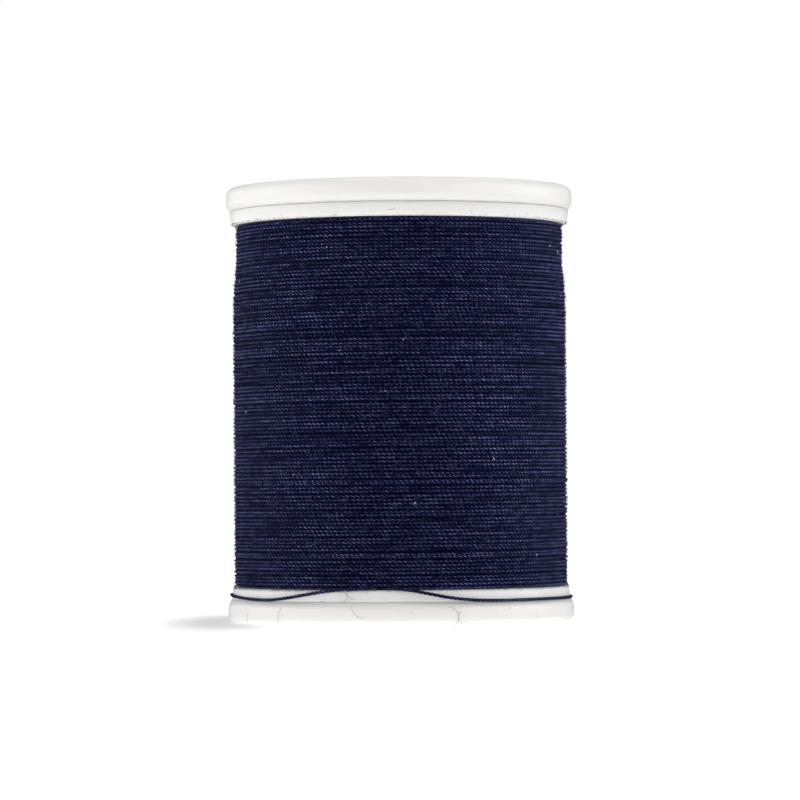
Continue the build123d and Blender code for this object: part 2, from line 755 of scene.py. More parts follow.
@dataclass(frozen=True)
class Softbox:
    """A soft light: place and size in metres, power in watts, and what shows it.

    Glossy surfaces show it where mirrored is set, and matte surfaces are lit where lit is set.
    """

    name: str
    place: tuple[float, float, float]
    size: tuple[float, float]
    power: float
    mirrored: bool = True
    lit: bool = True


@dataclass
class Studio:
    """The camera, the lights and the floor."""

    distance: float = 436 * MM
    eye_height: float = 14.8 * MM
    tilt: float = 1.08
    roll: float = 0.37
    lens: float = 188.3
    seen: float = 1.0
    surround: float = 0.32
    mirrored: float = 0.015
    floor_size: float = 3.0
    film_size: float = 0.3
    film_gap: float = 0.03 * MM
    aim: tuple = (0, 0, 0.02)
    softboxes: tuple[Softbox, ...] = (
        Softbox("left_strip", (-0.43, -0.2, 0.06), (0.62, 0.22), 0.25),
        Softbox("right_strip", (0.43, -0.2, 0.06), (0.62, 0.22), 0.04),
        Softbox("left_glint", (-0.43, -0.12, 0.07), (0.66, 0.3), 4.4, lit=False),
        Softbox("right_glint", (0.43, -0.12, 0.07), (0.66, 0.3), 5.2, lit=False),
        Softbox("left_rim", (-0.38, 0.3, 0.08), (0.4, 0.2), 0.4),
        Softbox("right_rim", (0.38, 0.3, 0.08), (0.4, 0.2), 0.25),
        Softbox("overhead_box", (0.12, -0.05, 0.5), (0.2, 0.2), 0.8, mirrored=False),
        Softbox("front_box", (-0.04, -0.5, 0.12), (0.4, 0.3), 0.2, mirrored=False),
        Softbox("canopy", (-0.02, 0.05, 0.5), (0.5, 0.5), 0.9, mirrored=False),
    )

    def place_camera(self) -> None:
        """Stand the camera in front of the spool, low down and far off."""
        data = bpy.data.cameras.new("camera")
        data.lens = self.lens
        data.sensor_width = 36.0
        data.clip_start = 0.01
        data.clip_end = 20.0
        camera = bpy.data.objects.new("camera", data)
        camera.location = (0.0, -self.distance, self.eye_height)
        look = Matrix.Rotation(math.radians(90 + self.tilt), 4, "X")
        turn = Matrix.Rotation(math.radians(-self.roll), 4, "Z")
        camera.rotation_euler = (look @ turn).to_euler()
        bpy.context.scene.collection.objects.link(camera)
        bpy.context.scene.camera = camera

    def hang(self, box: Softbox) -> None:
        """Hang a soft light that faces the spool.

        Args:
            box: the light.
        """
        data = bpy.data.lights.new(box.name, "AREA")
        data.shape = "RECTANGLE"
        data.size, data.size_y = box.size
        data.energy = box.power
        lamp = bpy.data.objects.new(box.name, data)
        lamp.location = box.place
        toward = Vector(self.aim) - Vector(box.place)
        lamp.rotation_euler = toward.to_track_quat("-Z", "Y").to_euler()
        lamp.visible_glossy = box.mirrored
        lamp.visible_diffuse = box.lit
        bpy.context.scene.collection.objects.link(lamp)

    def light(self) -> None:
        """Hang the lights, in a surround that lights and mirrors less than it shows."""
        for box in self.softboxes:
            self.hang(box)
        world = bpy.data.worlds.new("surround")
        world.use_nodes = True
        tree = world.node_tree
        tree.nodes.clear()
        path = tree.nodes.new("ShaderNodeLightPath")
        output = tree.nodes.new("ShaderNodeOutputWorld")
        shown = self._glow(tree, self.surround)
        for ray, strength in (("Is Glossy Ray", self.mirrored), ("Is Camera Ray", self.seen)):
            mix = tree.nodes.new("ShaderNodeMixShader")
            tree.links.new(path.outputs[ray], mix.inputs[0])
            tree.links.new(shown, mix.inputs[1])
            tree.links.new(self._glow(tree, strength), mix.inputs[2])
            shown = mix.outputs[0]
        tree.links.new(shown, output.inputs["Surface"])
        bpy.context.scene.world = world
        bpy.context.scene.view_settings.view_transform = "Standard"

    def _glow(self, tree: bpy.types.NodeTree, strength: float) -> bpy.types.NodeSocket:
        """Add a plain white background.

        Args:
            tree: the world's nodes.
            strength: its strength.

        Returns:
            Its output.
        """
        white = tree.nodes.new("ShaderNodeBackground")
        white.inputs["Color"].default_value = (1, 1, 1, 1)
        white.inputs["Strength"].default_value = strength
        return white.outputs[0]

    def lay_floor(self) -> None:
        """Lay the pale floor, with the film of soft shade just over it."""
        self._lay("floor", self.floor_size, -self.film_gap, StudioFloor().material())
        film = self._lay("shade_film", self.film_size, -self.film_gap / 2, SoftShade().material())
        film.visible_diffuse = False
        film.visible_shadow = False

    def _lay(
        self, name: str, size: float, height: float, material: bpy.types.Material
    ) -> bpy.types.Object:
        """Lay one level sheet.

        Args:
            name: the sheet's name.
            size: its side, in metres.
            height: its height, in metres.
            material: its finish.

        Returns:
            The sheet.
        """
        shape = bmesh.new()
        bmesh.ops.create_grid(shape, x_segments=4, y_segments=4, size=size / 2)
        bmesh.ops.translate(shape, verts=shape.verts, vec=(0, 0, height))
        mesh = mesh_from(shape, name)
        mesh.materials.append(material)
        sheet = bpy.data.objects.new(name, mesh)
        sheet.visible_glossy = False
        bpy.context.scene.collection.objects.link(sheet)
        sheet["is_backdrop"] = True
        return sheet


# ---------------------------------------------------------------- thread


@dataclass
class Thread:
    """A three-ply thread with Z twist."""

    diameter: float = 0.3 * MM
    lay: float = 1.55 * MM
    plies: int = 3
    ply_radius: float = 0.078 * MM
    ply_offset: float = 0.095 * MM
    crest: float = 1.0
    shoulder: float = 0.82
    valley: float = 0.42
    shoulder_angle: float = 35.0
    # The fields from shoulder_level to crest_start shape the crest share that the material paints
    # as shade in the ply valleys and on inward faces, and as highlight on the outermost crests,
    # dimmed and brightened at random along a run.
    shoulder_level: float = 0.3
    proud_power: float = 4.5
    dull_run: float = 34.0
    dullness: float = 1.1
    brightness: float = 0.9
    crest_start: float = 0.7
    steps_per_lay: int = 16

    def profile(self) -> bpy.types.Object:
        """The section as a closed curve, with shoulder, crest, shoulder and valley for each ply."""
        data = bpy.data.curves.new("thread_section", "CURVE")
        data.dimensions = "2D"
        spline = data.splines.new("POLY")
        half = self.diameter / 2
        points = []
        for ply in range(self.plies):
            middle = TAU * ply / self.plies
            edge = math.radians(self.shoulder_angle)
            for angle, reach in (
                (middle - edge, self.shoulder),
                (middle, self.crest),
                (middle + edge, self.shoulder),
                (middle + math.pi / self.plies, self.valley),
            ):
                points.append(
                    (math.cos(angle) * reach * half, math.sin(angle) * reach * half, 0.0)
                )
        add_points(spline, points)
        spline.use_cyclic_u = True
        return bpy.data.objects.new("thread_section", data)

    def twisted(
        self, name: str, points: Sequence[Sequence[float]], profile: bpy.types.Object
    ) -> bpy.types.Mesh:
        """A run of thread as one tube with a turning section.

        Args:
            name: the mesh's name.
            points: the run's points, in metres.
            profile: the thread's section.

        Returns:
            The mesh.
        """
        tilts = [0.0]
        for here, there in zip(points, points[1:]):
            tilts.append(tilts[-1] + TAU * math.dist(here, there) / self.lay)
        mesh = curve_mesh(name, [points], 0, tilts=tilts, profile=profile)
        # Painted light: the crest share is 0 in the valleys and on faces turned towards the spool,
        # where the material paints shade, and rises towards 1 on the outermost crests, where it
        # paints highlight; noise along the run dims and brightens it.
        levels = (self.shoulder_level, 1.0, self.shoulder_level, 0.0)
        ring_size = self.plies * len(levels)
        shares = []
        for index, vertex in enumerate(mesh.vertices):
            ring = min(index // ring_size, len(points) - 1)
            outward = math.hypot(*vertex.co.xy) - math.hypot(*points[ring][:2])
            proud = min(max(outward / (self.diameter / 2), 0.0), 1.0)
            slack = noise.noise(Vector((tilts[ring] / self.dull_run, points[0][2] / MM, 0.0)))
            gain = self.brightness + self.dullness * slack
            shares.append(min(levels[index % len(levels)] * proud**self.proud_power * gain, 1.0))
        self._store_crests(mesh, shares)
        return mesh

    def strands(self, points: Sequence[Vector]) -> list[list[Vector]]:
        """The lines of the separate plies round a route.

        Args:
            points: the route's points, in metres.

        Returns:
            One string of points for each ply.
        """
        even = resampled(points, self.lay / self.steps_per_lay)
        lines: list[list[Vector]] = [[] for _ in range(self.plies)]
        for index, here in enumerate(even):
            ahead = even[min(index + 1, len(even) - 1)] - even[max(index - 1, 0)]
            along = ahead.normalized()
            up = (Vector((0, 0, 1)) - along * along.z).normalized()
            out = along.cross(up)
            for ply, line in enumerate(lines):
                angle = TAU * (index / self.steps_per_lay + ply / self.plies)
                turned = up * math.cos(angle) + out * math.sin(angle)
                line.append(here + turned * self.ply_offset)
        return lines

    def mark_crests(self, mesh: bpy.types.Mesh, line: Sequence[Vector]) -> None:
        """Mark how far each point of separate plies lies from the thread's middle, for painted
        shade near the middle and painted highlight on the plies' outer sides.

        Args:
            mesh: the plies, which gain a "crest" attribute from 0 to 1.
            line: the thread's middle line.
        """
        even = resampled(line, self.ply_radius)
        tree = KDTree(len(even))
        for index, point in enumerate(even):
            tree.insert(point, index)
        tree.balance()
        reach = self.ply_offset + self.ply_radius
        shares = []
        for vertex in mesh.vertices:
            away = tree.find(vertex.co)[2] / reach
            share = (away - self.crest_start) / (1 - self.crest_start)
            shares.append(min(max(share, 0.0), 1.0) ** 2)
        self._store_crests(mesh, shares)

    def _store_crests(self, mesh: bpy.types.Mesh, shares: Sequence[float]) -> None:
        """Keep each point's share of crest for the material, which paints highlight where it is
        high and shade where it is low.

        Args:
            mesh: the thread's mesh, which gains a "crest" attribute.
            shares: a value from 0 to 1 for each of its vertices.
        """
        crests = mesh.attributes.new("crest", "FLOAT", "POINT")
        crests.data.foreach_set("value", shares)


def resampled(points: Sequence[Vector], step: float) -> list[Vector]:
    """Points at even steps along a string of points.

    Args:
        points: the string.
        step: the distance between new points, in metres.

    Returns:
        The new points, with the string's own last point.
    """
    found = [Vector(points[0])]
    left = step
    for start, end in zip(points, points[1:]):
        run = (Vector(end) - Vector(start)).length
        at = 0.0
        while run - at >= left:
            at += left
            found.append(Vector(start).lerp(Vector(end), at / run))
            left = step
        left -= run - at
    if (found[-1] - Vector(points[-1])).length > step / 4:
        found.append(Vector(points[-1]))
    return found


@dataclass
class LooseTurn:
    """The slack turn of thread round the foot's collar."""

    thread: Thread
    corner_radius: float = 17.79
    corner_height: float = 2.5
    corner_lean: float = 0.04
    length: float = 109.5 * MM
    left_rise: float = 0.32
    rise_bearing: float = -90.0
    rise_width: float = 24.0
    rise_hug: float = 0.15
    turn_step: int = 12
    turn_last: int = 46
    left_descent: tuple = (
        (-8.7, 17.12, 3.9),
        (-12, 17.36, 3.88),
        (-17, 17.53, 3.8),
        (-25, 17.65, 3.6),
        (-33, 17.76, 3.22),
        (-41, 17.79, 2.82),
        (-50, 17.8, 2.58),
    )
    right_climb: tuple = (
        (36, 17.8, 2.5),
        (28, 17.8, 2.54),
        (21, 17.79, 2.68),
        (15, 17.77, 2.92),
        (9, 17.77, 3.3),
        (3, 17.64, 3.66),
        (-1.5, 17.4, 3.84),
        (-4.3, 17.12, 3.9),
    )

    def route(self) -> list[Vector]:
        """The turn's control points, from the left of the front round the back to the right."""
        stops = list(self.left_descent)
        first = self.left_descent[-1][0] - self.turn_step
        for bearing in range(first, self.turn_last - 361, -self.turn_step):
            lean = self.corner_lean * (1 - math.sin(math.radians(bearing)))
            away = (bearing - self.rise_bearing) / self.rise_width
            rise = self.left_rise * math.exp(-away * away)
            radius = self.corner_radius - rise * self.rise_hug
            stops.append((bearing, radius, self.corner_height + lean + rise))
        stops += self.right_climb
        return [around(math.radians(b), r * MM, z * MM) for b, r, z in stops]

    def smooth_line(self) -> list[Vector]:
        """The turn's smooth line, read from a NURBS spline on the route."""
        data = bpy.data.curves.new("loose_route", "CURVE")
        data.dimensions = "3D"
        data.resolution_u = 8
        spline = data.splines.new("NURBS")
        add_points(spline, self.route())
        spline.order_u = 3
        spline.use_endpoint_u = True
        mesh = curve_to_mesh(data)
        line = [vertex.co.copy() for vertex in mesh.vertices]
        bpy.data.meshes.remove(mesh)
        return line

    def build(self, finish: bpy.types.Material) -> bpy.types.Object:
        """Make the turn from its separate plies.

        Args:
            finish: the thread's material.

        Returns:
            The piece.
        """
        line = self.smooth_line()
        plies = self.thread.strands(line)
        mesh = curve_mesh("loose_turn_thread", plies, self.thread.ply_radius, sides=2)
        self.thread.mark_crests(mesh, line)
        piece = finish_piece(
            "loose_turn_thread", mesh, Body.SPOOL, finish, ["loose_turn"]
        )
        return piece


@dataclass
class Winding:
    """The pack: a core painted dark as shade, an outer layer of thread and an under layer, painted
    darker as shade, that fills its grooves.
    """

    thread: Thread
    pitch: float = 0.386 * MM
    radius: float = 17.35 * MM
    top_radius: float = 17.0 * MM
    shoulder: tuple[float, float] = (32.5 * MM, 38.5 * MM)
    edge_step: float = 0.02 * MM
    edge_height: float = 0.35 * MM
    core_radius: float = 9.5 * MM
    steps_per_turn: int = 480
    under_steps_per_turn: int = 200
    under_drop: float = 0.11 * MM
    end_room: float = 0.165 * MM
    wander: float = 0.11 * MM
    waves: tuple = ((0.21, 3.1, 1.0), (0.83, 7.7, 1.1), (5.3, 11.9, 0.35))
    ripple: float = 0.05 * MM
    ripples: tuple = ((1.7, 0.5, 21.0), (6.3, 2.5, 27.0))
    closest: float = 0.29 * MM
    lift: float = 0.9
    settling: float = 0.5
    core_rows: int = 24
    core_gap: float = 0.365 * MM
    outer_bands: int = 6
    under_bands: int = 3
    seed: int = 7

    def __post_init__(self) -> None:
        """Read the pack's height from the frame."""
        low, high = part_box("thread_winding")
        self.foot = low.z
        self.top = high.z

    def reach(self, height: float) -> float:
        """The pack's outer radius at a height.

        Args:
            height: the height, in metres.

        Returns:
            The radius, in metres.
        """
        start, end = self.shoulder
        share = min(max((height - start) / (end - start), 0.0), 1.0)
        body = self.radius + (self.top_radius - self.radius) * share * share * (3 - 2 * share)
        edge = min(height - self.foot, self.top - height)
        inside = min(max(1 - edge / self.edge_height, 0.0), 1.0)
        return body - self.edge_step * inside * inside

    def drift(self, turns: float) -> float:
        """How far the thread strays from an even pitch.

        Args:
            turns: the place along the layer, in turns.

        Returns:
            The stray, in metres.
        """
        stray = 0.0
        for speed, row, weight in self.waves:
            stray += weight * noise.noise(Vector((turns * speed, row, self.seed)))
        return self.wander * stray

    def layer(self, layer: int, steps_per_turn: int) -> list[Vector]:
        """The line of one layer.

        Args:
            layer: 0 for the outer layer and 1 for the one under it.
            steps_per_turn: how many points a turn has.

        Returns:
            Its points from end to end.
        """
        low = self.foot + self.end_room
        high = self.top - self.end_room
        turns = (high - low) / self.pitch
        count = int(turns * steps_per_turn)
        heights: list[float] = []
        lifts: list[float] = []
        points = []
        for index in range(count + 1):
            at = turns * index / count
            share = index / count
            fade = max(min(1.0, at / 2, (turns - at) / 2), 0.0)
            height = low + (high - low) * share + self.drift(at) * fade
            height = min(max(height, low), high)
            lift = 0.0
            if index >= steps_per_turn:
                below = index - steps_per_turn
                crowding = max(self.closest - (height - heights[below]), 0.0)
                lift = max(self.lift * crowding - lifts[below] * self.settling, 0.0)
            heights.append(height)
            lifts.append(lift)
            radius = self.reach(height) - self.thread.diameter / 2 - layer * self.under_drop + lift
            for speed, row, strand in self.ripples:
                radius += self.ripple * noise.noise(Vector((at * speed, layer + row, strand)))
            points.append(around(TAU * at + math.pi * layer, radius, height))
        return points

    def build(self, *finishes: bpy.types.Material) -> None:
        """Make the two layers, each in bands, and the core.

        Args:
            finishes: the materials of the outer layer, the under layer and the dense inside; the
                last two are darker copies, as painted shade.
        """
        profile = self.thread.profile()
        layers = (
            ("pack_outer", self.steps_per_turn, self.outer_bands),
            ("pack_under", self.under_steps_per_turn, self.under_bands),
        )
        for layer, (name, steps_per_turn, bands) in enumerate(layers):
            line = self.layer(layer, steps_per_turn)
            share = (len(line) - 1) / bands
            for band in range(bands):
                piece = f"{name}_{band + 1}"
                run = line[round(band * share) : round((band + 1) * share) + 1]
                mesh = self.thread.twisted(piece, run, profile)
                finish_piece(piece, mesh, Body.SPOOL, finishes[layer])
        self._build_core(finishes[-1])

    def _build_core(self, finish: bpy.types.Material) -> None:
        """Make the dense inside of the pack.

        Args:
            finish: the thread's material.
        """
        corners = [(self.core_radius / MM, self.foot / MM)]
        for row in range(self.core_rows + 1):
            height = self.foot + (self.top - self.foot) * row / self.core_rows
            corners.append(((self.reach(height) - self.core_gap) / MM, height / MM))
        corners.append((self.core_radius / MM, self.top / MM))
        shape = Section(corners).turned(128)
        mesh = mesh_from(shape, "pack_core")
        finish_piece("pack_core", mesh, Body.SPOOL, finish, ["thread_winding"])


@dataclass
class Fuzz:
    """The fine hairs that stand off the pack and lie over the collars' edges."""

    winding: Winding
    hair: float = 0.009 * MM
    shortest: float = 0.35 * MM
    longest: float = 1.3 * MM
    stand: float = 0.06 * MM
    knots: int = 4
    curl: float = 0.7
    hairs_on_pack: int = 3600
    hairs_at_edges: int = 2600
    edge_share: float = 0.36
    edge_root: float = 0.2 * MM
    edge_spread: float = 1.1
    edge_reach: float = 0.36 * MM
    collar_step: float = 0.1 * MM
    collar_radius: float = 17.5 * MM
    seed: int = 11

    def hairs(self, count: int, at_edge: bool) -> list[list[Vector]]:
        """Lines of hairs round the pack.

        Args:
            count: how many hairs there are.
            at_edge: whether they start at the pack's two ends and lie over the collars.

        Returns:
            Their points.
        """
        dice = random.Random(self.seed + at_edge)
        low, high = self.winding.foot, self.winding.top
        lines = []
        for _ in range(count):
            bearing = dice.uniform(0, TAU)
            end, way = (high, 1) if dice.random() < 0.5 else (low, -1)
            height = dice.uniform(low, high)
            heading = dice.uniform(0, TAU)
            if at_edge:
                height = end - way * self.edge_root
                heading = way * TAU / 4 + dice.uniform(-self.edge_spread, self.edge_spread)
            length = dice.uniform(self.shortest, self.longest)
            length *= self.edge_share if at_edge else 1.0
            lines.append(self._hair(dice, bearing, height, heading, length))
        return lines

    def _hair(
        self, dice: random.Random, bearing: float, height: float, heading: float, length: float
    ) -> list[Vector]:
        """One hair, rooted in the pack.

        Args:
            dice: the source of chance.
            bearing: its root's bearing, in radians.
            height: its root's height, in metres.
            heading: its first direction on the surface, in radians above the level.
            length: its length, in metres.

        Returns:
            Its points.
        """
        low, high = self.winding.foot, self.winding.top
        stand = dice.uniform(0.2, 1.0) * self.stand
        step = length / self.knots
        points = []
        for knot in range(self.knots + 1):
            share = knot / self.knots
            body = self.winding.reach(min(max(height, low), high))
            over = min(max(max(low - height, height - high) / self.collar_step, 0.0), 1.0)
            radius = body + stand * math.sin(math.pi * min(share * 0.8, 1.0))
            radius += over * (self.collar_radius - body)
            points.append(around(bearing, radius, height))
            bearing += step * math.cos(heading) / radius
            height += step * math.sin(heading)
            height = min(max(height, low - self.edge_reach), high + self.edge_reach)
            heading += dice.uniform(-self.curl, self.curl)
        return points

    def build(self, finish: bpy.types.Material) -> None:
        """Make the hairs.

        Args:
            finish: the fibres' material.
        """
        for name, count, at_edge in (
            ("pack_fuzz", self.hairs_on_pack, False),
            ("edge_fuzz", self.hairs_at_edges, True),
        ):
            mesh = curve_mesh(name, self.hairs(count, at_edge), self.hair, sides=0)
            finish_piece(name, mesh, Body.SPOOL, finish)


@dataclass(frozen=True)
class Fibre:
    """One stray fibre: where it starts, its length in millimetres and how it runs."""

    body: Body
    bearing: float
    height: float
    length: float
    heading: float
    curl: float = 0.0


@dataclass
class StrayFibres:
    """Stray fibres that cling to the spool, and specks of lint on the pack."""

    winding: Winding
    spool_height: float = 45.1
    thickness: float = 0.013 * MM
    knots: int = 12
    clearance: float = 0.01
    flutter: float = 0.02
    waver: float = 0.12
    lint_count: int = 26
    lint_thickness: float = 0.03 * MM
    lint_length: tuple[float, float] = (0.06, 0.28)
    lint_margin: float = 1 * MM
    seed: int = 5
    outline: tuple = (
        (0.0, 17.76),
        (0.3, 18.0),
        (1.8, 18.0),
        (2.42, 17.6),
        (2.42, 17.65),
        (3.72, 17.45),
    )
    fibres: tuple[Fibre, ...] = (
        Fibre(Body.BASE_CAP, -60.5, 1.15, 0.95, -90, 8),
        Fibre(Body.BASE_CAP, -42.3, 1.85, 1.6, -128, 55),
        Fibre(Body.BASE_CAP, -16.2, 2.05, 1.9, -78, 95),
        Fibre(Body.BASE_CAP, 2.9, 1.55, 0.25, -70),
        Fibre(Body.BASE_CAP, 15.6, 2.0, 2.6, -20, -150),
        Fibre(Body.BASE_CAP, 19.5, 1.5, 1.8, -140, 170),
        Fibre(Body.BASE_CAP, 36.7, 1.55, 0.35, 35),
        Fibre(Body.BASE_CAP, 49.5, 0.95, 0.4, -60),
        Fibre(Body.BASE_CAP, 128.0, 1.2, 1.4, 30, 120),
        Fibre(Body.BASE_CAP, -150.0, 1.4, 1.1, -40, -90),
        Fibre(Body.SPOOL, -19.2, 3.45, 1.5, -30, -190),
        Fibre(Body.SPOOL, -18.0, 3.3, 1.0, -75, 60),
        Fibre(Body.SPOOL, -27.8, 2.52, 0.7, 8, -16),
        Fibre(Body.SPOOL, 28.4, 2.52, 0.4, 0, 10),
        Fibre(Body.SPOOL, -3.9, 41.75, 0.95, -6, 20),
        Fibre(Body.SPOOL, 24.3, 41.8, 0.5, -80, 40),
        Fibre(Body.SPOOL, 47.6, 41.7, 0.45, -60, 50),
        Fibre(Body.SPOOL, -22.6, 41.35, 0.6, 10, -40),
        Fibre(Body.SPOOL, 160.0, 41.7, 1.2, 20, 80),
    )

    def surface(self, height: float) -> float:
        """The spool's outer radius at a height of a cap or a collar.

        Args:
            height: the height, in millimetres.

        Returns:
            The radius, in millimetres.
        """
        from_end = min(height, self.spool_height - height)
        for (low, first), (high, last) in zip(self.outline, self.outline[1:]):
            if from_end < high:
                break
        return first + (last - first) * (from_end - low) / (high - low)

    def line(self, fibre: Fibre, dice: random.Random) -> list[Vector]:
        """The points of one fibre.

        Args:
            fibre: the fibre.
            dice: the source of chance.

        Returns:
            Its points, in metres.
        """
        bearing = math.radians(fibre.bearing)
        height = fibre.height
        heading = math.radians(fibre.heading)
        step = fibre.length / self.knots
        points = []
        for _ in range(self.knots + 1):
            radius = self.surface(height) + self.clearance + dice.uniform(0.0, self.flutter)
            points.append(around(bearing, radius * MM, height * MM))
            bearing += step * math.cos(heading) / radius
            height += step * math.sin(heading)
            heading += math.radians(fibre.curl) / self.knots
            heading += dice.uniform(-self.waver, self.waver)
        return points

    def lint(self) -> list[list[Vector]]:
        """Short pale fibres on the pack."""
        dice = random.Random(self.seed)
        low, high = self.winding.foot, self.winding.top
        lines = []
        for _ in range(self.lint_count):
            bearing = dice.uniform(0, TAU)
            height = dice.uniform(low + self.lint_margin, high - self.lint_margin)
            heading = dice.uniform(0, math.pi)
            length = dice.uniform(*self.lint_length) * MM
            radius = self.winding.reach(height) + self.lint_thickness
            ends = []
            for side in (-0.5, 0.0, 0.5):
                along = side * length
                ends.append(
                    around(
                        bearing + along * math.cos(heading) / radius,
                        radius + (self.lint_thickness if side else 0.0),
                        height + along * math.sin(heading),
                    )
                )
            lines.append(ends)
        return lines

    def build(self, navy: bpy.types.Material, pale: bpy.types.Material) -> None:
        """Make the fibres and the lint.

        Args:
            navy: the stray fibres' material.
            pale: the lint's material.
        """
        dice = random.Random(self.seed)
        for body in (Body.SPOOL, Body.BASE_CAP):
            lines = [self.line(fibre, dice) for fibre in self.fibres if fibre.body is body]
            name = f"stray_fibres_{body.value}"
            mesh = curve_mesh(name, lines, self.thickness, sides=0)
            finish_piece(name, mesh, body, navy)
        mesh = curve_mesh("lint_specks", self.lint(), self.lint_thickness, sides=0)
        finish_piece("lint_specks", mesh, Body.SPOOL, pale)


# ---------------------------------------------------------------- spool mouldings


@dataclass
class Cap:
    """An outer flange: rim, face with a label recess, bored boss and six snap fingers."""

    end: End
    radius: float = 18.0
    rim_height: float = 2.426
    rim_wall: float = 1.4
    bevel_width: float = 0.4
    bevel_height: float = 0.6
    face: float = 1.2
    bore: float = 3.5
    bore_chamfer: float = 0.4
    boss_radius: float = 4.7
    boss_height: float = 7.5
    recess: tuple[float, float] = (4.85, 15.55)
    recess_depth: float = 0.25
    skirt_radius: float = 8.15
    skirt_wall: float = 1.0
    skirt_height: float = 7.2
    bead: float = 0.45
    bead_land: float = 0.4
    bead_drop: float = 0.6
    overlap: float = 0.1
    finger_count: int = 6
    finger_gap: float = 2.0
    face_rounding: tuple = (0, 0.1, 0.06, 0.05, 0.05, 0.1)
    rim_rounding: tuple = (0.8, 0.3, 0.06, 0.1, 0.3)
    boss_rounding: tuple = (0.3, 0.15, 0.15)
    finger_rounding: tuple = (0, 0, 0.1, 0.08, 0.08, 0.1, 0.1)

    def shell(self) -> bmesh.types.BMesh:
        """The rim, the face and the boss."""
        inner, outer = self.recess
        rim_bore = self.radius - self.bevel_width - self.rim_wall
        corners = [
            (self.bore, self.bore_chamfer),
            (self.bore + self.bore_chamfer, 0),
            (inner, 0),
            (inner, self.recess_depth),
            (outer, self.recess_depth),
            (outer, 0),
            (self.radius, 0),
            (self.radius, self.rim_height - self.bevel_height),
            (self.radius - self.bevel_width, self.rim_height),
            (rim_bore, self.rim_height),
            (rim_bore, self.face),
            (self.boss_radius, self.face),
            (self.boss_radius, self.boss_height),
            (self.bore, self.boss_height),
        ]
        rounding = (*self.face_rounding, *self.rim_rounding, *self.boss_rounding)
        return Section(corners, rounding).turned(192)

    def finger(self, number: int) -> bmesh.types.BMesh:
        """One snap finger.

        Args:
            number: its place round the skirt.

        Returns:
            Its shell.
        """
        foot = self.face - self.overlap
        outer = self.skirt_radius
        inner = outer - self.skirt_wall
        bead_top = self.skirt_height - self.bead_drop
        bead_foot = bead_top - self.bead_land
        corners = [
            (inner, foot),
            (outer, foot),
            (outer, bead_foot - self.bead),
            (outer + self.bead, bead_foot),
            (outer + self.bead, bead_top),
            (outer - self.bore_chamfer, self.skirt_height),
            (inner, self.skirt_height),
        ]
        gap = math.degrees(self.finger_gap / (outer - self.skirt_wall / 2))
        step = 360 / self.finger_count
        section = Section(corners, self.finger_rounding, segments=2)
        return section.turned(14, step - gap, number * step + gap / 2)

    def build(self, finish: bpy.types.Material, height: float) -> None:
        """Make the cap.

        Args:
            finish: the plastic.
            height: the spool's height, in metres.
        """
        body = self.end.cap
        name = f"{body.value}_moulding"
        fingers = [self.finger(number) for number in range(self.finger_count)]
        shape = joined(name, [self.shell(), *fingers])
        if self.end is End.TOP:
            turned_over(shape, height)
        mesh = mesh_from(shape, name)
        finish_piece(name, mesh, body, finish, [body.value])


